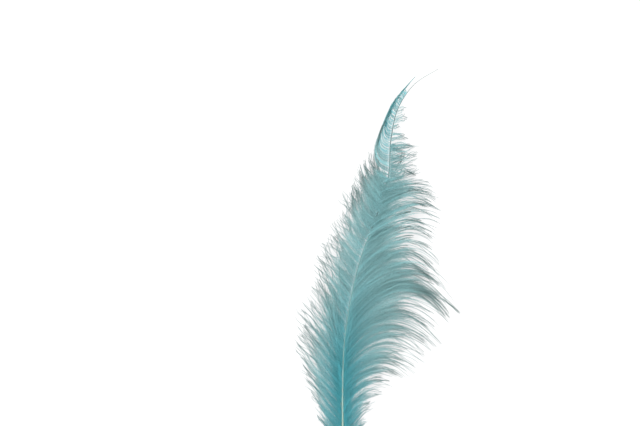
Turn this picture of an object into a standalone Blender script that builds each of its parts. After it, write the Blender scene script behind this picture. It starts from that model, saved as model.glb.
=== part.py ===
"""One dyed ostrich plume, lying on a flat surface with its outer side up.

Metres, +Z up, the tip towards +Y. The shaft is a tapering tube along a bowed line. Each vane is a thin
closed sheet that follows the barbs from the shaft out to their tips: it arches up beside the shaft, droops
and lies flat on the surface along its outer margin. The origin is the bottom centre of the whole feather.
"""

import bpy
import numpy as np

MM = 0.001

# Centreline of the shaft, from the quill's cut end to the tip, in millimetres.
SHAFT_LINE = (
    (2, 0, 1.7),
    (0, 45, 4.5),
    (-1, 95, 12),
    (-1, 136, 19),
    (1, 180, 25),
    (8, 226, 29),
    (19, 270, 30.5),
    (35, 313, 29),
    (48, 356, 25),
    (51, 396, 19),
    (60, 432, 12),
    (77, 456, 7),
    (103, 473, 3),
)
SHAFT_STEPS = 60
SHAFT_SIDES_PER_QUARTER = 2
QUILL_RADIUS = 1.7 * MM
TIP_RADIUS = 0.35 * MM
NIB_RADIUS = 0.8 * MM
NIB_SHARE = 0.016  # share of the shaft over which the quill's end tapers in
FULL_SHARE = 0.06  # the shaft keeps its full radius up to here
TAPER_POWER = 1.7  # above 1, the shaft thins fastest beside the quill

# The barbs start at this share of the shaft, above the bare quill, and run to just short of the tip.
VANE_FROM = 0.12
VANE_TO = 0.985

# How the barbs run on each side, at shares of the vane from its foot to its tip: how far they reach out from
# the shaft, how far their tips lead towards the feather's tip, both in millimetres, and how much they bow.
LEFT_BARBS = (
    (0.00, 28, 36, 0.10),
    (0.12, 52, 56, 0.05),
    (0.29, 43, 54, 0.03),
    (0.41, 46, 36, 0.02),
    (0.50, 40, 30, -0.05),
    (0.58, 37, 33, -0.18),
    (0.66, 31, 32, -0.20),
    (0.74, 17, 22, -0.05),
    (0.86, 9, 12, 0.10),
    (1.00, 4, 7, 0.20),
)
RIGHT_BARBS = (
    (0.00, 26, 30, 0.30),
    (0.08, 50, 26, 0.45),
    (0.20, 92, 14, 0.58),
    (0.29, 122, 26, 0.60),
    (0.39, 97, 26, 0.68),
    (0.48, 82, 40, 0.60),
    (0.57, 68, 34, 0.50),
    (0.66, 52, 18, 0.26),
    (0.77, 35, 7, 0.08),
    (0.86, 16, 10, 0.05),
    (1.00, 4, 7, 0.10),
)
SIDES = {"left_vane": (-1, LEFT_BARBS), "right_vane": (1, RIGHT_BARBS)}

# The sheet that stands for a vane.
VANE_THICKNESS = 2.5 * MM
VANE_STEPS_ALONG = 44
VANE_STEPS_ACROSS = 10
FLAT_FROM = 0.84  # from this share of the barbs' reach the vane lies on the surface
CROWN_LIFT = 10.0 * MM  # how far the barbs arch above the line that droops from the shaft
ROOT_GAP = 0.8 * MM  # between the shaft's skin and a vane's inner edge
ELBOW = 0.4  # share of its reach at which a barb's path bends

DYED_HORN = (0.30, 0.52, 0.50)
DYED_BARBS = (0.16, 0.38, 0.40)


def smooth_through(knots, rows, places):
    """Values at the places given, on smooth curves through the rows that stand at the knots."""
    rows = np.array(rows, float)
    slopes = np.gradient(rows, knots, axis=0)
    part = np.clip(np.searchsorted(knots, places, side="right") - 1, 0, len(knots) - 2)
    width = (knots[part + 1] - knots[part])[:, None]
    v = (places - knots[part])[:, None] / width
    return (
        (2 * v**3 - 3 * v**2 + 1) * rows[part]
        + (v**3 - 2 * v**2 + v) * width * slopes[part]
        + (3 * v**2 - 2 * v**3) * rows[part + 1]
        + (v**3 - v**2) * width * slopes[part + 1]
    )


def smooth_line(points, count):
    """count points evenly spread along a smooth curve through the points given."""
    points = np.array(points, float)
    knots = np.concatenate([[0], np.cumsum(np.linalg.norm(np.diff(points, axis=0), axis=1))])
    curve = smooth_through(knots, points, np.linspace(0, knots[-1], 40 * count))
    run = np.concatenate([[0], np.cumsum(np.linalg.norm(np.diff(curve, axis=0), axis=1))])
    even = np.linspace(0, run[-1], count)
    return np.stack([np.interp(even, run, curve[:, axis]) for axis in range(3)], axis=1)


def shaft_radius(share):
    """The shaft's radius at a share of its length: a nib, a full quill, then a taper to the tip."""
    left = 1 - np.clip((share - FULL_SHARE) / (1 - FULL_SHARE), 0, 1)
    body = TIP_RADIUS + (QUILL_RADIUS - TIP_RADIUS) * left**TAPER_POWER
    nib = np.clip(share / NIB_SHARE, 0, 1)
    return body - (QUILL_RADIUS - NIB_RADIUS) * (1 - nib) ** 2


def at_share(line, share):
    """The point at a share of an evenly spaced line."""
    places = np.linspace(0, 1, len(line))
    return np.array([np.interp(share, places, line[:, axis]) for axis in range(3)])


def finish(name, colour, roughness):
    """A plain Principled material."""
    material = bpy.data.materials.new(name)
    material.use_nodes = True
    shader = material.node_tree.nodes["Principled BSDF"]
    shader.inputs["Base Color"].default_value = (*colour, 1)
    shader.inputs["Roughness"].default_value = roughness
    shader.inputs["Metallic"].default_value = 0.0
    return material


def make_shaft(line, collection, material):
    """The quill and rachis: a tube along the shaft's line, thick at the quill and fine at the tip."""
    curve = bpy.data.curves.new("shaft", "CURVE")
    curve.dimensions = "3D"
    curve.bevel_depth = 1.0
    curve.bevel_resolution = SHAFT_SIDES_PER_QUARTER
    curve.use_fill_caps = True
    spline = curve.splines.new("POLY")
    spline.points.add(len(line) - 1)
    for place, (point, co) in enumerate(zip(spline.points, line)):
        point.co = (*co, 1)
        point.radius = shaft_radius(place / (len(line) - 1))
    curve.materials.append(material)
    shaft = bpy.data.objects.new("shaft", curve)
    collection.objects.link(shaft)
    return shaft


def barb_plan(table, share):
    """Reach, lead and bow of the barb that grows at a share of the vane."""
    table = np.array(table, float)
    reach, lead, bow = smooth_through(table[:, 0], table[:, 1:], np.array([share]))[0]
    return reach * MM, lead * MM, bow


def sheet_point(line, side, table, along, across):
    """A point on a vane's underside: along is its share of the vane, across its share of the barb's reach."""
    share = VANE_FROM + (VANE_TO - VANE_FROM) * along
    root = at_share(line, share)
    ahead = at_share(line, min(share + 0.01, 1)) - at_share(line, max(share - 0.01, 0))
    ahead[2] = 0
    ahead /= np.linalg.norm(ahead)
    out = side * np.array((ahead[1], -ahead[0], 0))
    reach, lead, bow = barb_plan(table, along)
    inner = shaft_radius(share) + ROOT_GAP
    bend = 2 * across * (1 - across)
    outward = inner + (reach - inner) * (bend * ELBOW + across**2)
    forward = bend * (ELBOW * lead + bow * reach) + across**2 * lead
    fall = min(across / FLAT_FROM, 1)
    droop = 1 - 3 * fall**2 + 2 * fall**3
    crown = CROWN_LIFT * min(reach / (60 * MM), 1) * 16 * (fall * (1 - fall)) ** 2
    point = root + outward * out + forward * ahead
    root_height = max(root[2] - VANE_THICKNESS / 2, 0)
    point[2] = root_height * droop + crown
    return point


def make_vane(name, line, collection, material):
    """One vane: a grid laid along the barbs and thickened upwards."""
    side, table = SIDES[name]
    bpy.ops.mesh.primitive_grid_add(
        x_subdivisions=VANE_STEPS_ACROSS, y_subdivisions=VANE_STEPS_ALONG, size=2
    )
    vane = bpy.context.object
    vane.name = name
    vane.data.name = name
    for vertex in vane.data.vertices:
        across, along = (vertex.co.x + 1) / 2, (vertex.co.y + 1) / 2
        vertex.co = sheet_point(line, side, table, along, across)
    if side < 0:
        vane.data.flip_normals()
    vane.data.materials.append(material)
    vane.data.shade_smooth()
    solid = vane.modifiers.new("thickness", "SOLIDIFY")
    solid.thickness = VANE_THICKNESS
    solid.offset = 1
    for holder in vane.users_collection:
        holder.objects.unlink(vane)
    collection.objects.link(vane)
    return vane


def stand_on_origin(pieces):
    """Moves the pieces together so that the bottom centre of their shared box is the origin."""
    bpy.context.view_layer.update()
    graph = bpy.context.evaluated_depsgraph_get()
    corners = []
    for piece in pieces:
        mesh = piece.evaluated_get(graph).to_mesh()
        corners += [piece.matrix_world @ vertex.co for vertex in mesh.vertices]
    corners = np.array(corners)
    low, high = corners.min(axis=0), corners.max(axis=0)
    for piece in pieces:
        piece.location = (-(low[0] + high[0]) / 2, -(low[1] + high[1]) / 2, -low[2])


def main():
    for leftover in list(bpy.data.objects):
        bpy.data.objects.remove(leftover)
    collection = bpy.data.collections.new("ostrich_feather")
    bpy.context.scene.collection.children.link(collection)
    horn = finish("dyed_horn", DYED_HORN, 0.35)
    barbs = finish("dyed_barbs", DYED_BARBS, 0.85)
    line = smooth_line(np.array(SHAFT_LINE) * MM, SHAFT_STEPS)
    pieces = [make_shaft(line, collection, horn)]
    pieces += [make_vane(name, line, collection, barbs) for name in SIDES]
    stand_on_origin(pieces)


main()
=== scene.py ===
"""A dyed ostrich plume lying on a pale table, seen from straight above.

The shaft is one tube of horn, round at the quill and grooved underneath further up. Every barb of the two
vanes is a strand of its own: a slender stem that leaves the shaft, arches up and droops to the table, with
fine barbules all along it. Neighbouring barbs draw together into locks towards their tips. Near the feather's
tip the left vane is folded up along the shaft like a sail, and the right vane breaks up into short tufts.

Metres, +Z up, +Y towards the feather's tip. The lines of the shaft and of the vanes are the solid model's.
"""

import bpy
import numpy as np
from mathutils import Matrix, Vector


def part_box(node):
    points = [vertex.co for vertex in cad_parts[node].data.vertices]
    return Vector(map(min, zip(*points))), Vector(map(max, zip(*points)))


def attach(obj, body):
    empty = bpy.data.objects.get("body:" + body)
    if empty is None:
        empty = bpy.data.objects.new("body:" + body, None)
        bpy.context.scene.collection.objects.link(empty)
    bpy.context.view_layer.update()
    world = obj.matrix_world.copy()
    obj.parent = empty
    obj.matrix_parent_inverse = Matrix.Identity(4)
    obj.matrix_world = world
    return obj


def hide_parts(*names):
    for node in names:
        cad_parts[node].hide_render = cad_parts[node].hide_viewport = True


MM = 0.001
LEFT = -1
RIGHT = 1
SEEDS = {LEFT: 19, RIGHT: 21}
TIP_SEED = 25  # for the fold and the tufts near the feather's tip

# ---- The shaft's line and the run of the barbs, as in the solid model, in millimetres ----

SHAFT_LINE = (
    (2, 0, 1.7), (0, 45, 4.5), (-1, 95, 12), (-1, 136, 19), (1, 180, 25), (8, 226, 29), (19, 270, 30.5),
    (35, 313, 29), (48, 356, 25), (51, 396, 19), (60, 432, 12), (77, 456, 7), (103, 473, 3),
)
LINE_STEPS = 400
QUILL_RADIUS = 1.7 * MM
TIP_RADIUS = 0.35 * MM
FULL_SHARE = 0.06  # the share of the shaft, from the quill's end, that keeps the quill's full radius
TAPER_POWER = 1.7
VANE_FROM = 0.12  # the shares of the shaft between which the vanes grow
VANE_TO = 0.985

# One row for each of some places along the vane: its share of the vane, the barbs' reach outwards, the lead
# of their tips towards the feather's tip, their bow, their curl, and the share of a barb where locks part.
LEFT_BARBS = (
    (0.00, 28, 36, 0.10, 0.03, 0.60), (0.12, 52, 56, 0.05, 0.04, 0.60), (0.29, 43, 54, 0.03, 0.06, 0.60),
    (0.41, 46, 36, 0.02, 0.08, 0.52), (0.50, 41, 30, -0.05, 0.08, 0.64), (0.58, 38, 34, -0.22, 0.06, 0.74),
    (0.64, 34, 34, -0.25, 0.02, 0.66), (0.68, 28, 15, -0.16, 0.02, 0.56), (0.71, 23, 9, -0.06, 0.02, 0.50),
    (1.00, 4, 7, 0.20, 0.02, 0.70),
)
RIGHT_BARBS = (
    (0.00, 26, 30, 0.30, 0.03, 0.60), (0.08, 50, 26, 0.45, 0.02, 0.62), (0.20, 92, 14, 0.58, 0.01, 0.68),
    (0.29, 122, 26, 0.68, 0.01, 0.67), (0.39, 97, 26, 0.70, 0.01, 0.60), (0.48, 82, 41, 0.60, 0.01, 0.42),
    (0.57, 71, 33, 0.50, 0.02, 0.31), (0.66, 54, 16, 0.26, 0.03, 0.28), (0.69, 42, 12, 0.02, 0.04, 0.26),
    (1.00, 4, 7, 0.10, 0.02, 0.50),
)
FLAT_FROM = 0.84  # the share of a barb's length from which it lies on the table
CROWN_LIFT = 10.0 * MM  # how far a long barb arches above its own fall to the table
ELBOW = 0.4  # how early a barb turns outwards
LONG_REACH = 60 * MM  # from this reach a barb arches fully

# ---- The shaft's own detail: radii and shares of its length ----

SHAFT_SIDES = 20
SHAFT_CUTS = 150
NIB_RADIUS = 0.8 * MM
NIB_SHARE = 0.016
PORE_INSET = 0.5  # the wall around the pore in the nib, as a share of the nib's radius
PORE_DEPTH = 0.012
GROOVE_DEPTH = 0.45  # of the shaft's radius
GROOVE_WIDTH = 0.35
GROOVE_STARTS = (VANE_FROM - 0.01, VANE_FROM + 0.04)
GROOVE_ENDS = (0.8, 0.95)

# ---- Strands ----

STEM_CUTS = 18
ALONG = np.linspace(0, 1, STEM_CUTS + 2)  # the shares of a barb's length at which its path has a point
STEM_RADIUS = (0.20 * MM, 0.18 * MM)  # at the shaft and at the tip
BARBULES_A_MM = 2.5
BARBULE_LENGTH = 5.5 * MM
BARBULE_RADIUS = 0.135 * MM
BARBULE_LEAN = (25, 60)  # degrees away from the stem
BARBULE_TILT = 30  # degrees out of the barb's own plane, as a spread
SHORT_BARBULE = 0.08  # of the full length, where a barb is nearly bare
FADE = 0.32  # the share of a barb over which its barbules shorten to that
SWAYS = (1.1, 2.3)  # the turns of the two waves that a barb may have
FULL_TURN = 6.3  # radians
FLOOR_GAP = 0.05 * MM

# ---- How many barbs there are, and how they gather into locks ----

BARBS_A_SIDE = 490  # over the whole length of a vane
STRETCHES = 4  # the pieces that the ordinary barbs of a vane are made in
PLAN_STEPS = 200
CROWDING = (0.85, 1.5)  # barbs grow thinnest where they are short, and densest where they are long
VANE_ENDS = {LEFT: 0.712, RIGHT: 0.69}  # the share of each vane where its ordinary barbs end
THINNING = {LEFT: 0.75, RIGHT: 0.5}  # the share of barbs that are missing close to that end
THINS_OVER = (0.09, 0.02)  # how far before that end the barbs begin to thin out, and are at their thinnest
LOCK_SIZES = {LEFT: (2, 5), RIGHT: (4, 11)}  # in barbs
SMALL_LOCK_SIZES = (2, 4)
LOOSE_BARBS = 0.14  # the share of barbs that belong to no lock
BARE_AFTER = {LEFT: 0.24, RIGHT: 0.17}  # how much further out than the parting the barbs are nearly bare
SHORTEST = {LEFT: 0.30, RIGHT: 0.54}  # how much shorter than the plan the shortest barbs are
DRAPED_LOCK = (0.300, 0.332)  # the place of one broad lock of the right vane, which hangs over its own crest
DRAPED_PULL = 0.45
DRAPED_FROM = 0.45  # the share of its barbs from which they draw together
DRAPED_BARE = 0.95
STEEP_BARBS = 52  # on each side, as are the down and the barbs that cross the shaft
STEEP_TO = 0.27  # the share of the vane where the steep barbs end
DOWN_BARBS = 34
DOWN_FROM = -0.045  # the down begins below the vane's foot
DOWN_FULL = 0.02  # and has its full size from here
DOWN_TO = 0.03
DOWN_REACH = 22 * MM
DOWN_LEAD = 20 * MM
CROSS_BARBS = 46
CROSS_FROM = 0.52
CROSS_SPAN = 0.17

# The folded part of the left vane near the feather's tip. The points of its outer edge are in millimetres, on
# the same ground as the shaft's line.
SAIL_EDGE = ((31.5, 384), (33, 393), (39, 406), (45.5, 418), (52, 435), (61, 446.5), (68, 453.5), (80, 467))
SAIL_FROM = 0.707
SAIL_TO = 0.915
SAIL_BARBS = 105

# The short tufts of the right vane near the tip: from share, to share, number of barbs, reach and lead in
# millimetres, bow, curl, fuzz, and the length of the shortest barb as a share of the longest.
TIP_TUFTS = (
    (0.690, 0.726, 18, 40, 15, -0.16, 0.12, 0.26, 0.5),
    (0.722, 0.750, 12, 38, 9, -0.10, 0.06, 0.26, 0.6),
    (0.694, 0.776, 44, 22, 6, 0.00, 0.05, 0.30, 0.2),
    (0.758, 0.775, 13, 38, 3, 0.06, 0.02, 0.42, 0.6),
    (0.784, 0.793, 5, 21, 4, 0.10, 0.05, 0.30, 0.6),
    (0.798, 0.806, 5, 18, 2, 0.10, 0.05, 0.30, 0.6),
    (0.816, 0.824, 4, 10, 6, 0.00, 0.10, 0.30, 0.6),
    (0.830, 0.846, 6, 15, 11, 0.00, 0.12, 0.28, 0.6),
    (0.854, 0.872, 5, 10, 9, 0.05, 0.10, 0.14, 0.6),
)

# ---- Colours: linear, along a barb, over its dye and painted glow and its tone, and along the shaft ----

BARB_COLOURS = (
    (0.0, (0.36, 0.67, 0.69)),
    (0.55, (0.42, 0.70, 0.71)),
    (0.8, (0.28, 0.45, 0.45)),
    (1.0, (0.17, 0.27, 0.26)),
)
# The deep cyan is a painted glow where it lies beside the quill, and real extra dye where the fold near the
# tip takes it.
DEEP_DYE_AND_GLOW = (0.12, 0.56, 0.62)
QUILL_GLOW_WIDTH = 22 * MM
QUILL_GLOW_FADES = (130 * MM, 270 * MM)  # above the quill's end
BARB_TONES = ((0.0, (0.80, 0.82, 0.82)), (0.7, (1.10, 1.08, 1.08)), (1.0, (1.30, 1.25, 1.25)))
BARB_ROUGHNESS = 0.55
LIGHT_THROUGH = 0.4  # the share of light that a barb lets through
HORN_COLOURS = (
    (0.0, (0.45, 0.45, 0.33)),
    (0.16, (0.34, 0.43, 0.34)),
    (0.32, (0.22, 0.39, 0.38)),
    (0.62, (0.20, 0.42, 0.43)),
    (0.77, (0.14, 0.27, 0.28)),
    (0.83, (0.07, 0.13, 0.13)),
    (0.92, (0.08, 0.12, 0.12)),
    (1.0, (0.35, 0.38, 0.38)),
)
HORN_HALF_LENGTH = 0.238
HORN_STREAKS = ((0.3, (0.75, 0.75, 0.72)), (0.7, (1.1, 1.1, 1.1)))
HORN_STREAK_SCALE = 2500
HORN_STREAK_STRETCH = 0.03
HORN_ROUGHNESS = 0.38

# ---- The table, the light and the view, in metres and watts ----

TABLE_SIZE = 6
TABLE_GREY = (0.25, 0.25, 0.25)
TABLE_ROUGHNESS = 0.9
TABLE_LIGHT = 0.62
ROOM_LIGHT = 1.8
LAMP_PLACE = (-0.9, 0.9, 1.8)
LAMP_TURN = (-24, -24, 0)  # degrees
LAMP_SIZE = 1.5
LAMP_POWER = 18
VIEW_CENTRE = (-25.4 * MM, 316.4 * MM)  # on the same ground as the shaft's line
VIEW_HEIGHT = 1.645
LENS = 85


def smooth_through(knots, rows, places):
    """Values at the places given, on smooth curves through the rows that stand at the knots."""
    rows = np.array(rows, float)
    slopes = np.gradient(rows, knots, axis=0)
    part = np.clip(np.searchsorted(knots, places, side="right") - 1, 0, len(knots) - 2)
    width = (knots[part + 1] - knots[part])[:, None]
    v = (places - knots[part])[:, None] / width
    return (
        (2 * v**3 - 3 * v**2 + 1) * rows[part]
        + (v**3 - 2 * v**2 + v) * width * slopes[part]
        + (3 * v**2 - 2 * v**3) * rows[part + 1]
        + (v**3 - v**2) * width * slopes[part + 1]
    )


def smooth_line(points, count):
    """count points evenly spread along a smooth curve through the points given."""
    points = np.array(points, float)
    knots = np.concatenate([[0], np.cumsum(np.linalg.norm(np.diff(points, axis=0), axis=1))])
    curve = smooth_through(knots, points, np.linspace(0, knots[-1], 40 * count))
    run = np.concatenate([[0], np.cumsum(np.linalg.norm(np.diff(curve, axis=0), axis=1))])
    even = np.linspace(0, run[-1], count)
    return np.stack([np.interp(even, run, curve[:, axis]) for axis in range(3)], axis=1)


def ease(value, low, high):
    """0 below low, 1 above high and a smooth step between."""
    t = np.clip((value - low) / (high - low), 0, 1)
    return t * t * (3 - 2 * t)


def shaft_radius(share):
    """The shaft's radius at a share of its length: full at the quill, then tapering to the tip."""
    left = 1 - np.clip((share - FULL_SHARE) / (1 - FULL_SHARE), 0, 1)
    return TIP_RADIUS + (QUILL_RADIUS - TIP_RADIUS) * left**TAPER_POWER


def on_line(line, share):
    """The points at shares of an evenly spaced line."""
    places = np.linspace(0, 1, len(line))
    return np.stack([np.interp(share, places, line[:, axis]) for axis in range(3)], axis=-1)


def placed_line():
    """The shaft's line, moved to where the solid model lies, and how far it was moved."""
    line = smooth_line(np.array(SHAFT_LINE) * MM, LINE_STEPS)
    radius = shaft_radius(np.linspace(0, 1, LINE_STEPS))
    low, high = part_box("shaft")
    across = (low[0] + high[0]) / 2 - ((line[:, 0] - radius).min() + (line[:, 0] + radius).max()) / 2
    along = (low[1] + high[1]) / 2 - (line[0, 1] + line[-1, 1]) / 2
    return line + (across, along, 0), (across, along)


def unit(vectors):
    """The same directions, one unit long."""
    return vectors / np.linalg.norm(vectors, axis=-1, keepdims=True)


def shaft_frame(line, vane_share, side):
    """Where barbs leave the shaft: root, the ways ahead and out, both level, and the shaft's radius."""
    share = VANE_FROM + (VANE_TO - VANE_FROM) * vane_share
    root = on_line(line, share)
    ahead = on_line(line, np.minimum(share + 0.01, 1)) - on_line(line, np.maximum(share - 0.01, 0))
    ahead[..., 2] = 0
    ahead = unit(ahead)
    out = np.stack([ahead[..., 1], -ahead[..., 0], np.zeros_like(share)], axis=-1) * side
    return root, ahead, out, shaft_radius(share)


def barb_plan(table, share):
    """Reach, lead, bow, curl and parting of the barbs at shares of a vane."""
    table = np.array(table, float)
    reach, lead, bow, curl, parting = smooth_through(table[:, 0], table[:, 1:], share).T
    return reach * MM, lead * MM, bow, curl, parting


def barb_paths(line, side, share, reach, lead, bow, s):
    """The run of each barb: one row a barb, one column for each share s of its length.

    It leaves the shaft, turns outwards, bows, arches up to a crown and lies down on the table.
    """
    root, ahead, out, radius = shaft_frame(line, share, side)
    bend = 2 * s * (1 - s)
    inner = 0.6 * radius[:, None]
    outward = inner + (reach[:, None] - inner) * (bend * ELBOW + s**2)
    forward = bend * (ELBOW * lead + bow * reach)[:, None] + s**2 * lead[:, None]
    fall = np.minimum(s / FLAT_FROM, 1)
    droop = 1 - 3 * fall**2 + 2 * fall**3
    hump = (4 * fall * (1 - fall)) ** 2
    crown = CROWN_LIFT * np.minimum(reach / LONG_REACH, 1)[:, None] * hump
    path = root[:, None] + outward[..., None] * out[:, None] + forward[..., None] * ahead[:, None]
    path[..., 2] = root[:, None, 2] * droop + crown
    return path


def spread_out(count, rng):
    """count shares from 0 to 1, evenly spread but for a small shift of each."""
    return ((np.arange(count) + rng.uniform(-0.5, 0.5, count)) / count).clip(0, 1)


def lock_numbers(count, rng, fewest, most):
    """A lock number for each of count neighbouring barbs, in locks of fewest to most barbs."""
    sizes = rng.integers(fewest, most + 1, count)
    return np.repeat(np.arange(count), sizes)[:count]


def gathered(path, lock, pull, low, high):
    """Draws the barbs of each lock towards its middle barb, from share low of their length to share high."""
    s = np.linspace(0, 1, path.shape[1])
    first = np.searchsorted(lock, np.arange(lock[-1] + 1))
    last = np.searchsorted(lock, np.arange(lock[-1] + 1), side="right")
    middle = ((first + last - 1) // 2)[lock]
    weight = pull[:, None] * ease(s[None], np.reshape(low, (-1, 1)), np.reshape(high, (-1, 1)))
    return path + (path[middle] - path) * weight[..., None]


def swaying(path, size, rng):
    """Gives each barb waves of its own, of a size that is a share of its length, growing towards its tip."""
    count, steps = path.shape[:2]
    s = np.linspace(0, 1, steps)
    length = np.linalg.norm(np.diff(path, axis=1), axis=2).sum(axis=1)
    across = unit(np.cross(np.gradient(path, axis=1), (0, 0, 1)))
    for turns in SWAYS:
        pace = rng.uniform(0.7, 1.3, count)[:, None]
        phase = pace * turns * s * 2 * np.pi + rng.uniform(0, FULL_TURN, count)[:, None]
        swing = (length * size * rng.uniform(0.3, 1, count) / turns)[:, None] * ease(s, 0, 1)
        path = path + (swing * np.sin(phase))[..., None] * across
    return path


def barb_set(path, share, tone, fuzz, bare, dye_and_glow=0.0):
    """Barbs as a table: path, place on the vane, tone, length of barbules, where they end, and extra dye."""
    count = len(share)
    return {
        "path": path,
        "share": share,
        "tone": tone,
        "fuzz": np.broadcast_to(fuzz, count),
        "bare": np.broadcast_to(bare, count),
        "dye_and_glow": np.broadcast_to(dye_and_glow, count),
    }


def some(barbs, keep):
    """The barbs that are to be kept."""
    return {label: values[keep] for label, values in barbs.items()}


def barb_places(table, last, rng):
    """The shares of a vane at which its barbs grow, closer together where they are long."""
    places = np.linspace(0, last, PLAN_STEPS)
    crowd = np.cumsum((barb_plan(table, places)[0] / LONG_REACH).clip(*CROWDING))
    count = int(BARBS_A_SIDE * last * crowd[-1] / PLAN_STEPS)
    return np.sort(np.interp(spread_out(count, rng) * crowd[-1], crowd, places))


def vane_barbs(line, side, table, rng):
    """The ordinary barbs of one vane, drawn together into small locks and then into larger ones."""
    last = VANE_ENDS[side]
    share = barb_places(table, last, rng)
    count = len(share)
    reach, lead, bow, curl, parting = barb_plan(table, share)
    lock = lock_numbers(count, rng, *LOCK_SIZES[side])
    small_lock = lock_numbers(count, rng, *SMALL_LOCK_SIZES)
    n_locks = lock[-1] + 1
    low = parting + rng.uniform(-0.12, 0.2, n_locks)[lock]
    pull = (1.0 - parting + 0.4 * parting * rng.random(n_locks)[lock]) * rng.uniform(0.6, 1, n_locks)[lock]
    pull = (pull * rng.uniform(0.85, 1.1, count)).clip(0, 0.97)
    small_pull = rng.uniform(0.5, 1.0, small_lock[-1] + 1)[small_lock]
    loose = rng.random(count) < LOOSE_BARBS
    pull[loose] = 0
    small_pull[loose] = 0

    # How short each barb is: less so where the locks part late, on loose barbs and in the tightest locks.
    shorter = 0.65 * (1 - rng.random(n_locks)[lock] ** 2) + 0.35 * rng.random(count)
    shorter *= 1.9 - 2.0 * parting
    shorter[loose] *= 0.25
    shorter[small_pull > 0.93] *= 0.4
    bare = parting + BARE_AFTER[side] + rng.uniform(-0.08, 0.06, count)
    if side == RIGHT:
        draped = (share > DRAPED_LOCK[0]) & (share < DRAPED_LOCK[1])
        lock[draped] = lock[draped].min()
        pull[draped] = DRAPED_PULL
        low[draped] = DRAPED_FROM
        bare[draped] = DRAPED_BARE
        shorter[draped] *= 0.25

    # No two barbs or locks are quite alike.
    grown = rng.normal(1, 0.04, count) * rng.normal(1, 0.04, n_locks)[lock]
    lead = lead + reach * (rng.normal(0, 0.07, count) + rng.normal(0, 0.04, n_locks)[lock])
    bow = bow + rng.normal(0, 0.05, count) + rng.normal(0, 0.03, n_locks)[lock]
    cut = 1.0 - SHORTEST[side] * shorter
    path = barb_paths(line, side, share, reach * grown.clip(0.8, 1.05), lead, bow, ALONG * cut[:, None])
    path = gathered(path, small_lock, small_pull, parting - 0.05, parting + 0.3)
    path = gathered(path, lock, pull, low, low + 0.5)
    path = swaying(path, curl * rng.uniform(0.5, 1.6, count), rng)
    path[..., 2] += rng.uniform(0.2 * MM, 3.2 * MM, count)[:, None] * (0.3 + 0.7 * (1 - ALONG))
    tone = 0.6 * rng.random(count) + 0.4 * rng.random(n_locks)[lock]
    barbs = barb_set(path, share, tone, rng.uniform(0.8, 1.15, count), bare)
    missing = THINNING[side] * ease(share, last - THINS_OVER[0], last - THINS_OVER[1])
    return some(barbs, rng.random(count) > missing)


def steep_barbs(line, side, rng):
    """Long barbs beside the quill that run almost along the shaft, over the others."""
    share = np.sort(rng.uniform(0.0, STEEP_TO, STEEP_BARBS))
    reach = rng.uniform(5 * MM, 24 * MM, STEEP_BARBS)
    lead = rng.uniform(45 * MM, 95 * MM, STEEP_BARBS)
    path = barb_paths(line, side, share, reach, lead, np.full(STEEP_BARBS, 0.1), ALONG)
    shaft_height = np.interp(path[..., 1], line[:, 1], line[:, 2])
    above = rng.uniform(-1.0 * MM, 2.5 * MM, STEEP_BARBS)[:, None]
    path[..., 2] = shaft_height + above * ease(ALONG, 0, 0.3)
    lock = lock_numbers(STEEP_BARBS, rng, *SMALL_LOCK_SIZES)
    path = gathered(path, lock, rng.uniform(0.2, 0.9, STEEP_BARBS), 0.3, 1.0)
    path = swaying(path, 0.01, rng)
    tone = 0.5 + 0.5 * rng.random(STEEP_BARBS)
    fuzz = rng.uniform(0.5, 0.8, STEEP_BARBS)
    return barb_set(path, share, tone, fuzz, rng.uniform(0.7, 1.0, STEEP_BARBS))


def down_barbs(line, side, rng):
    """Short curly down where the vane begins, above the bare quill."""
    share = np.sort(rng.uniform(DOWN_FROM, DOWN_TO, DOWN_BARBS))
    size = rng.uniform(0.6, 1.1, DOWN_BARBS) * (0.45 + 0.55 * ease(share, DOWN_FROM, DOWN_FULL))
    bow = rng.normal(0.1, 0.2, DOWN_BARBS)
    path = barb_paths(line, side, share, DOWN_REACH * size, DOWN_LEAD * size, bow, ALONG)
    path = swaying(path, 0.12, rng)
    path[..., 2] += rng.uniform(-0.5 * MM, 3 * MM, DOWN_BARBS)[:, None] * ease(ALONG, 0, 0.4)
    tone = 0.5 + 0.5 * rng.random(DOWN_BARBS)
    return barb_set(path, share, tone, rng.uniform(0.6, 0.9, DOWN_BARBS), 1.1)


def cross_barbs(line, side, table, rng):
    """Barbs further up whose first stretch lies across the shaft, so that it goes out of sight."""
    share = np.sort(CROSS_FROM + CROSS_SPAN * rng.random(CROSS_BARBS) ** 0.7)
    reach, lead, bow, _, _ = barb_plan(table, share)
    path = barb_paths(line, side, share, reach * rng.uniform(0.5, 0.9, CROSS_BARBS), lead * 1.3, bow, ALONG)
    _, _, out, _ = shaft_frame(line, share, side)
    back = rng.uniform(2.5 * MM, 5 * MM, CROSS_BARBS)[:, None] * (1 - ease(ALONG, 0, 0.35))
    path = path - back[..., None] * out[:, None]
    path[..., 2] += rng.uniform(1.9 * MM, 3.4 * MM, CROSS_BARBS)[:, None] * (1 - 0.6 * ease(ALONG, 0.2, 1))
    path = swaying(path, 0.015, rng)
    tone = rng.random(CROSS_BARBS)
    return barb_set(path, share, tone, rng.uniform(0.8, 1.1, CROSS_BARBS), 0.72)


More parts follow.
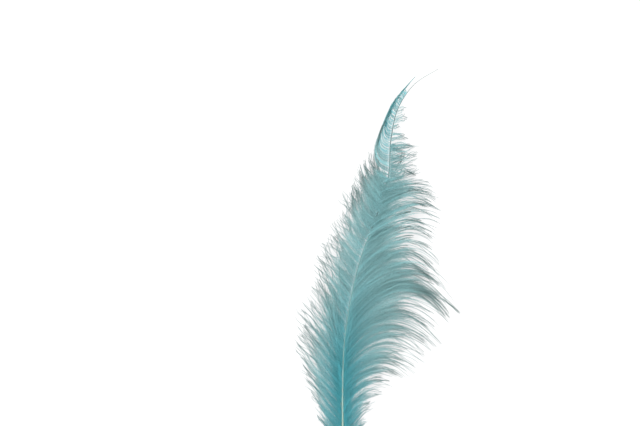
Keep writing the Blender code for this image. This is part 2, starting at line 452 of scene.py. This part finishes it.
def sail_barbs(line, shift, rng):
    """The left vane's folded stretch: its barbs dip from the shaft, turn and run along the fold's edge."""
    count = SAIL_BARBS
    order = np.sort(spread_out(count, rng))
    share = SAIL_FROM + (SAIL_TO - SAIL_FROM) * order
    root, ahead, out, _ = shaft_frame(line, share, LEFT)
    edge = smooth_line([(x, y, 0) for x, y in SAIL_EDGE], 200) * MM + (shift[0], shift[1], 0)
    start = (order * 0.72 + rng.normal(0, 0.02, count)).clip(0, 1)
    end = (start + rng.uniform(0.18, 0.34, count)).clip(0, 1)
    inset = np.abs(rng.normal(0, 1.0 * MM, count))[:, None] * (1 - 0.7 * order[:, None])
    turn = on_line(edge, start) - out * inset
    tip = on_line(edge, end) - out * inset * 0.6
    width = np.linalg.norm(turn[:, :2] - root[:, :2], axis=1)[:, None]

    # Each barb is one cubic curve from its root, past its dip and its turn, to its tip on the fold's edge.
    dip = (0.15 * ease(order, 0.0, 0.3) - 0.15 - 1.2 * ease(order, 0.55, 1.0))[:, None]
    first = root + out * width * 0.5 - ahead * width * dip
    second = turn + out * width * 0.12 - ahead * width * 0.35
    s = ALONG[None, :, None]
    path = (
        root[:, None] * (1 - s) ** 3
        + 3 * first[:, None] * s * (1 - s) ** 2
        + 3 * second[:, None] * s**2 * (1 - s)
        + tip[:, None] * s**3
    )
    sink = ease(s[..., 0], 0.0, 0.75)
    path[..., 2] = root[:, None, 2] * (1 - 0.7 * sink) + rng.uniform(0.3 * MM, 3 * MM, count)[:, None]
    lock = lock_numbers(count, rng, *LOCK_SIZES[LEFT])
    pull = rng.uniform(0.5, 1.0, count) * (1 - 0.4 * ease(order, 0.3, 0.6))
    path = gathered(path, lock, pull, 0.02, 0.5)
    path = swaying(path, 0.006, rng)
    tone = 0.3 * rng.random(count) + 0.8 * rng.random(count)[lock]
    fuzz = rng.uniform(0.16, 0.30, count) + 0.25 * (1 - ease(order, 0.0, 0.35))
    dye_and_glow = (0.25 + 0.55 * rng.random(count)[lock]) * ease(order, 0.0, 0.4)
    return barb_set(path, share, tone, fuzz, 1.0, dye_and_glow)


def tuft_barbs(line, rng):
    """The short tufts at the tip's end of the right vane, with bare shaft between them."""
    sets = []
    for low, high, count, reach, lead, bow, curl, fuzz, shortest in TIP_TUFTS:
        share = np.linspace(low, high, count)
        reach = reach * MM * rng.normal(1, 0.08, count)
        lead = lead * MM + reach * rng.normal(0, 0.12, count)
        bow = bow + rng.normal(0, 0.08, count)
        length = rng.uniform(shortest, 1.03, count)[:, None]
        path = barb_paths(line, RIGHT, share, reach, lead, bow, ALONG * length)
        path = gathered(path, lock_numbers(count, rng, 2, 3), rng.uniform(0.4, 0.95, count), 0.3, 0.85)
        path = gathered(path, np.zeros(count, int), rng.uniform(0.3, 0.8, count), 0.3, 1.0)
        path = swaying(path, curl, rng)
        path[..., 2] += rng.uniform(0.2 * MM, 2.0 * MM, count)[:, None]
        tone = rng.random(count) * 0.6
        sets.append(barb_set(path, share, tone, fuzz * rng.uniform(0.8, 1.15, count), 0.9))
    return {label: np.concatenate([barbs[label] for barbs in sets]) for label in sets[0]}


# ---- Making strands into meshes ----


def take_shape(obj):
    """The corners and triangles of a modelled pattern piece, which is then put away."""
    bpy.ops.object.mode_set(mode="EDIT")
    bpy.ops.mesh.select_all(action="SELECT")
    bpy.ops.mesh.quads_convert_to_tris()
    bpy.ops.object.mode_set(mode="OBJECT")
    corners = np.array([v.co for v in obj.data.vertices])
    triangles = np.array([p.vertices for p in obj.data.polygons])
    bpy.data.objects.remove(obj)
    return corners, triangles


def cut_lengthwise(rod, cuts):
    """Cuts the upright edges of a rod into short lengths."""
    bpy.ops.object.mode_set(mode="EDIT")
    bpy.ops.mesh.select_all(action="DESELECT")
    bpy.ops.mesh.select_mode(type="EDGE")
    bpy.ops.object.mode_set(mode="OBJECT")
    for edge in rod.data.edges:
        ends = [rod.data.vertices[v].co.z for v in edge.vertices]
        edge.select = abs(ends[0] - ends[1]) > 0.5
    bpy.ops.object.mode_set(mode="EDIT")
    bpy.ops.mesh.subdivide(number_cuts=cuts)
    bpy.ops.object.mode_set(mode="OBJECT")


def model_shaft(line):
    """The shaft: a round quill with a pore in its end, then a slimmer rachis with a groove underneath."""
    bpy.ops.object.select_all(action="DESELECT")
    bpy.ops.mesh.primitive_cylinder_add(vertices=SHAFT_SIDES, radius=1, depth=1, location=(0, 0, 0.5))
    shaft = bpy.context.object
    shaft.name = "shaft_horn"
    bpy.ops.object.transform_apply()
    cut_lengthwise(shaft, SHAFT_CUTS)
    bpy.ops.object.mode_set(mode="EDIT")
    bpy.ops.mesh.select_mode(type="FACE")
    bpy.ops.mesh.select_all(action="DESELECT")
    bpy.ops.object.mode_set(mode="OBJECT")
    for face in shaft.data.polygons:
        face.select = face.center.z < 1e-6
    bpy.ops.object.mode_set(mode="EDIT")
    bpy.ops.mesh.inset(thickness=PORE_INSET)
    bpy.ops.mesh.extrude_region_move(TRANSFORM_OT_translate={"value": (0, 0, PORE_DEPTH)})
    bpy.ops.object.mode_set(mode="OBJECT")
    bpy.ops.object.shade_smooth()

    # The straight rod is laid along the shaft's line, at the radius of each place.
    corners = np.array([v.co for v in shaft.data.vertices])
    share = corners[:, 2]
    place = on_line(line, share)
    along = unit(on_line(line, np.minimum(share + 0.004, 1)) - on_line(line, np.maximum(share - 0.004, 0)))
    across = unit(np.cross(along, (0, 0, 1)))
    up = np.cross(across, along)
    nib = np.clip(share / NIB_SHARE, 0, 1)
    radius = shaft_radius(share) - (QUILL_RADIUS - NIB_RADIUS) * (1 - nib) ** 2
    groove = GROOVE_DEPTH * ease(share, *GROOVE_STARTS) * (1 - ease(share, *GROOVE_ENDS))
    underneath = np.exp(-((corners[:, 0] / GROOVE_WIDTH) ** 2)) * (corners[:, 1] < 0)
    places = place + radius[:, None] * (
        corners[:, :1] * across + (corners[:, 1] * (1 - groove * underneath))[:, None] * up
    )
    shaft.data.vertices.foreach_set("co", places.ravel())
    shaft.data.update()
    return shaft


def model_stem():
    """A barb's stem as a pattern: a three-sided closed rod, one unit long and cut into short lengths."""
    bpy.ops.object.select_all(action="DESELECT")
    bpy.ops.mesh.primitive_cylinder_add(vertices=3, radius=1, depth=1, location=(0, 0, 0.5))
    stem = bpy.context.object
    bpy.ops.object.transform_apply()
    cut_lengthwise(stem, STEM_CUTS)
    return take_shape(stem)


def model_barbule():
    """A barbule as a pattern: a three-sided needle one unit long, closed at its foot."""
    bpy.ops.object.select_all(action="DESELECT")
    bpy.ops.mesh.primitive_cone_add(vertices=3, radius1=1, radius2=0, depth=1, location=(0, 0, 0.5))
    bpy.ops.object.transform_apply()
    return take_shape(bpy.context.object)


def path_frames(path):
    """Along, across and up at each point of each path."""
    along = unit(np.gradient(path, axis=1))
    across = unit(np.cross(along, (0, 0, 1)))
    return along, across, np.cross(across, along)


def stem_mesh(path, pattern):
    """The stems of all the barbs: places of the corners, triangles, and what each corner carries.

    A corner carries its share along the barb, its barb's number and its spread on that barb's strip of map.
    """
    corners, triangles = pattern
    along, across, up = path_frames(path)
    ring = np.rint(corners[:, 2] * (path.shape[1] - 1)).astype(int)
    share = corners[:, 2]
    radius = STEM_RADIUS[0] + (STEM_RADIUS[1] - STEM_RADIUS[0]) * share
    radius = (radius * (1 - 0.6 * ease(share, 0.93, 1.0)))[None, :, None]
    places = path[:, ring] + radius * (
        corners[None, :, 0, None] * across[:, ring] + corners[None, :, 1, None] * up[:, ring]
    )
    count = len(path)
    faces = triangles[None] + (np.arange(count) * len(corners))[:, None, None]
    return {
        "places": places.reshape(-1, 3),
        "faces": faces.reshape(-1, 3),
        "share": np.tile(share, count),
        "barb": np.repeat(np.arange(count), len(corners)),
        "spread": np.tile(corners[:, :2] * (0.4, 0.0), (count, 1)),
    }


def barbule_mesh(path, fuzz, bare, pattern, rng):
    """The same for the barbules, which are spread evenly along every barb on both of its sides."""
    corners, triangles = pattern
    length = np.linalg.norm(np.diff(path, axis=1), axis=2).sum(axis=1)
    each = np.rint(length / MM * BARBULES_A_MM).astype(int)
    barb = np.repeat(np.arange(len(path)), each)
    first = np.repeat(np.cumsum(each) - each, each)
    order = np.arange(len(barb)) - first
    share = (order + rng.random(len(barb))) / each[barb]
    steps = path.shape[1] - 1
    part = np.minimum((share * steps).astype(int), steps - 1)
    within = (share * steps - part)[:, None]
    along, across, up = path_frames(path)
    root = path[barb, part] * (1 - within) + path[barb, part + 1] * within
    side = np.where(order % 2 == 0, 1.0, -1.0)[:, None]
    lean = np.radians(rng.uniform(*BARBULE_LEAN, len(barb)))[:, None]
    tilt = np.radians(rng.normal(0, BARBULE_TILT, len(barb)))[:, None]
    outwards = np.cos(tilt) * side * across[barb, part] + np.sin(tilt) * up[barb, part]
    way = np.cos(lean) * along[barb, part] + np.sin(lean) * outwards
    size = BARBULE_LENGTH * fuzz[barb] * rng.uniform(0.6, 1.1, len(barb))
    size = size * (1 - (1 - SHORT_BARBULE) * ease(share, bare[barb] - FADE, bare[barb]))
    size = size * (0.3 + 0.7 * ease(share, 0.0, 0.1))
    e1 = unit(np.cross(way, (0.0, 0.0, 1.0)))
    e2 = np.cross(e1, way)
    places = root[:, None] + (
        BARBULE_RADIUS * corners[None, :, 0, None] * e1[:, None]
        + BARBULE_RADIUS * corners[None, :, 1, None] * e2[:, None]
        + size[:, None, None] * corners[None, :, 2, None] * way[:, None]
    )
    count = len(barb)
    faces = triangles[None] + (np.arange(count) * len(corners))[:, None, None]
    return {
        "places": places.reshape(-1, 3),
        "faces": faces.reshape(-1, 3),
        "share": np.repeat(share, len(corners)),
        "barb": np.repeat(barb, len(corners)),
        "spread": np.tile(corners[:, :2] * (0.4, 0.01), (count, 1)),
    }


def quill_glow(places, line):
    """How strong the painted glow is, 0 to 1: it is strongest low down beside the quill."""
    beside = np.abs(places[:, 0] - np.interp(places[:, 1], line[:, 1], line[:, 0]))
    up = places[:, 1] - line[0, 1]
    return np.exp(-((beside / QUILL_GLOW_WIDTH) ** 2)) * (1 - ease(up, *QUILL_GLOW_FADES))


def strands(name, barbs, patterns, line, rng):
    """One piece of the vanes: the stems and barbules of its barbs, joined into one mesh."""
    parts = [
        stem_mesh(barbs["path"], patterns["stem"]),
        barbule_mesh(barbs["path"], barbs["fuzz"], barbs["bare"], patterns["barbule"], rng),
    ]
    parts[1]["faces"] = parts[1]["faces"] + len(parts[0]["places"])
    joined = {label: np.concatenate([part[label] for part in parts]) for label in parts[0]}
    places, faces, share, barb, spread = joined.values()
    places[:, 2] = np.maximum(places[:, 2], FLOOR_GAP)
    mesh = bpy.data.meshes.new(name)
    mesh.vertices.add(len(places))
    mesh.vertices.foreach_set("co", places.ravel())
    mesh.loops.add(faces.size)
    mesh.loops.foreach_set("vertex_index", faces.ravel())
    mesh.polygons.add(len(faces))
    mesh.polygons.foreach_set("loop_start", np.arange(0, faces.size, 3))
    mesh.update(calc_edges=True)
    looks = {
        "along": share,
        "tone": barbs["tone"][barb],
        # Painted glow beside the quill, together with the fold's real extra dye.
        "dye_and_glow": np.maximum(quill_glow(places, line), barbs["dye_and_glow"][barb]),
    }
    for label, values in looks.items():
        mesh.attributes.new(label, "FLOAT", "POINT").data.foreach_set("value", values)

    # One narrow strip of the map for each barb, its root at the bottom.
    across_map = (barb + 0.5 + spread[:, 0]) / len(barbs["share"])
    up_map = 0.01 + 0.97 * share + spread[:, 1]
    spots = np.stack([across_map, up_map], axis=1)
    mesh.uv_layers.new(name="OFBake").uv.foreach_set("vector", spots[faces.ravel()].clip(0, 1).ravel())
    piece = bpy.data.objects.new(name, mesh)
    bpy.context.scene.collection.objects.link(piece)
    return piece


# ---- Materials ----


def new_material(name):
    """A material with its nodes, its links and its Principled shader."""
    material = bpy.data.materials.new(name)
    material.use_nodes = True
    nodes = material.node_tree.nodes
    return material, nodes, material.node_tree.links, nodes["Principled BSDF"]


def ramp(nodes, stops):
    """A colour ramp through the stops, each a place and a colour."""
    node = nodes.new("ShaderNodeValToRGB")
    elements = node.color_ramp.elements
    while len(elements) < len(stops):
        elements.new(0.5)
    for element, (place, colour) in zip(elements, stops):
        element.position = place
        element.color = (*colour, 1)
    return node


def attribute(nodes, name):
    """The value of an attribute that the strands carry."""
    node = nodes.new("ShaderNodeAttribute")
    node.attribute_name = name
    return node.outputs["Fac"]


def blended(nodes, links, way, factor, first, second):
    """Two colours put together, by a factor that is a number or a socket."""
    node = nodes.new("ShaderNodeMix")
    node.data_type = "RGBA"
    node.blend_type = way
    if isinstance(factor, float):
        node.inputs["Factor"].default_value = factor
    else:
        links.new(factor, node.inputs["Factor"])
    for socket, colour in (("A", first), ("B", second)):
        if isinstance(colour, tuple):
            node.inputs[socket].default_value = (*colour, 1)
        else:
            links.new(colour, node.inputs[socket])
    return node.outputs["Result"]


def dyed_barb_material():
    """The barbs: teal, with a painted glow of deeper cyan beside the quill, greyer towards the tips, and
    letting light through.
    """
    material, nodes, links, surface = new_material("dyed_barbs")
    body = ramp(nodes, BARB_COLOURS)
    links.new(attribute(nodes, "along"), body.inputs["Fac"])
    # Painted glow: the barbs turn deeper cyan beside the quill; on the fold near the tip the same mix stands
    # for real extra dye.
    colour = blended(nodes, links, "MIX", attribute(nodes, "dye_and_glow"), body.outputs["Color"], DEEP_DYE_AND_GLOW)
    shade = ramp(nodes, BARB_TONES)
    links.new(attribute(nodes, "tone"), shade.inputs["Fac"])
    colour = blended(nodes, links, "MULTIPLY", 1.0, colour, shade.outputs["Color"])
    links.new(colour, surface.inputs["Base Color"])
    surface.inputs["Roughness"].default_value = BARB_ROUGHNESS
    glow = nodes.new("ShaderNodeBsdfTranslucent")
    links.new(colour, glow.inputs["Color"])
    mixed = nodes.new("ShaderNodeMixShader")
    mixed.inputs["Fac"].default_value = LIGHT_THROUGH
    links.new(surface.outputs["BSDF"], mixed.inputs[1])
    links.new(glow.outputs["BSDF"], mixed.inputs[2])
    links.new(mixed.outputs["Shader"], nodes["Material Output"].inputs["Surface"])
    return material


def horn_material():
    """The shaft: cream horn with a tint of the dye, darker towards the tip, with fine streaks along it."""
    material, nodes, links, surface = new_material("quill_horn")
    places = nodes.new("ShaderNodeTexCoord").outputs["Object"]
    parts = nodes.new("ShaderNodeSeparateXYZ")
    links.new(places, parts.inputs["Vector"])
    along = nodes.new("ShaderNodeMapRange")
    along.inputs["From Min"].default_value = -HORN_HALF_LENGTH
    along.inputs["From Max"].default_value = HORN_HALF_LENGTH
    links.new(parts.outputs["Y"], along.inputs["Value"])
    body = ramp(nodes, HORN_COLOURS)
    links.new(along.outputs["Result"], body.inputs["Fac"])
    stretch = nodes.new("ShaderNodeMapping")
    stretch.inputs["Scale"].default_value = (1, HORN_STREAK_STRETCH, 1)
    links.new(places, stretch.inputs["Vector"])
    streaks = nodes.new("ShaderNodeTexNoise")
    streaks.inputs["Scale"].default_value = HORN_STREAK_SCALE
    links.new(stretch.outputs["Vector"], streaks.inputs["Vector"])
    shade = ramp(nodes, HORN_STREAKS)
    links.new(streaks.outputs["Fac"], shade.inputs["Fac"])
    colour = blended(nodes, links, "MULTIPLY", 1.0, body.outputs["Color"], shade.outputs["Color"])
    links.new(colour, surface.inputs["Base Color"])
    surface.inputs["Roughness"].default_value = HORN_ROUGHNESS
    return material


def table_material():
    """A pale matt finish that glows a little, so that the table stays nearly white under the feather."""
    material, _, _, surface = new_material("pale_table")
    surface.inputs["Base Color"].default_value = (*TABLE_GREY, 1)
    surface.inputs["Roughness"].default_value = TABLE_ROUGHNESS
    surface.inputs["Emission Color"].default_value = (1, 1, 1, 1)
    surface.inputs["Emission Strength"].default_value = TABLE_LIGHT
    return material


# ---- Table, light, camera ----


def lay_table():
    """The pale table that the feather lies on."""
    bpy.ops.object.select_all(action="DESELECT")
    bpy.ops.mesh.primitive_plane_add(size=TABLE_SIZE)
    table = bpy.context.object
    table.name = "table"
    table.data.materials.append(table_material())


def light_room():
    """White light from all round, and one wide soft lamp from the upper left."""
    world = bpy.data.worlds.new("room")
    world.use_nodes = True
    world.node_tree.nodes["Background"].inputs["Color"].default_value = (1, 1, 1, 1)
    world.node_tree.nodes["Background"].inputs["Strength"].default_value = ROOM_LIGHT
    bpy.context.scene.world = world
    bpy.ops.object.light_add(type="AREA", location=LAMP_PLACE)
    lamp = bpy.context.object
    lamp.data.size = LAMP_SIZE
    lamp.data.energy = LAMP_POWER
    lamp.rotation_euler = np.radians(LAMP_TURN)


def place_camera(shift):
    """The camera looks straight down."""
    place = (VIEW_CENTRE[0] + shift[0], VIEW_CENTRE[1] + shift[1], VIEW_HEIGHT)
    bpy.ops.object.camera_add(location=place, rotation=(0, 0, 0))
    camera = bpy.context.object
    camera.data.lens = LENS
    camera.data.clip_end = 20
    bpy.context.scene.camera = camera


# ---- The pieces ----


def add_shaft(line, finish):
    """The detailed shaft, in place of the solid model's."""
    shaft = model_shaft(line)
    shaft.data.materials.append(finish)
    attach(shaft, "root")
    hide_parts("shaft")


def add_barbs(name, node, barbs, patterns, finish, line, rng):
    """One piece made of barbs, in place of a vane of the solid model."""
    piece = strands(name, barbs, patterns, line, rng)
    piece.data.materials.append(finish)
    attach(piece, "root")
    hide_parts(node)


def add_vane(node, side, table, patterns, finish, line):
    """The ordinary barbs of a vane in stretches, and its steep, downy and crossing barbs."""
    rng = np.random.default_rng(SEEDS[side])
    barbs = vane_barbs(line, side, table, rng)
    for part in range(STRETCHES):
        low, high = np.array([part, part + 1]) / STRETCHES * VANE_ENDS[side]
        keep = (barbs["share"] >= low) & ((barbs["share"] < high) | (part == STRETCHES - 1))
        add_barbs(f"{node}_{part + 1}", node, some(barbs, keep), patterns, finish, line, rng)
    add_barbs(f"{node}_steep", node, steep_barbs(line, side, rng), patterns, finish, line, rng)
    add_barbs(f"{node}_down", node, down_barbs(line, side, rng), patterns, finish, line, rng)
    add_barbs(f"{node}_across", node, cross_barbs(line, side, table, rng), patterns, finish, line, rng)


def add_tip(patterns, finish, line, shift):
    """What is special near the feather's tip: the left vane's fold and the right vane's tufts."""
    rng = np.random.default_rng(TIP_SEED)
    add_barbs("left_vane_fold", "left_vane", sail_barbs(line, shift, rng), patterns, finish, line, rng)
    add_barbs("right_vane_tufts", "right_vane", tuft_barbs(line, rng), patterns, finish, line, rng)


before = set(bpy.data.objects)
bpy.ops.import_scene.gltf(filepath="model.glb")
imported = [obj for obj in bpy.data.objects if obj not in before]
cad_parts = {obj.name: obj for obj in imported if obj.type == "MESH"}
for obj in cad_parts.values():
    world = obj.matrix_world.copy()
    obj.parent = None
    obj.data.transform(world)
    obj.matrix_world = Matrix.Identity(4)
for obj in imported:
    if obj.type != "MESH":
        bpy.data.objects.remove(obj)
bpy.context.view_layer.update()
bpy.context.scene.view_settings.view_transform = "Standard"
line, shift = placed_line()
place_camera(shift)
lay_table()
light_room()

patterns = {"stem": model_stem(), "barbule": model_barbule()}
horn = horn_material()
dyed = dyed_barb_material()
add_shaft(line, horn)
add_vane("left_vane", LEFT, LEFT_BARBS, patterns, dyed, line)
add_vane("right_vane", RIGHT, RIGHT_BARBS, patterns, dyed, line)
add_tip(patterns, dyed, line, shift)
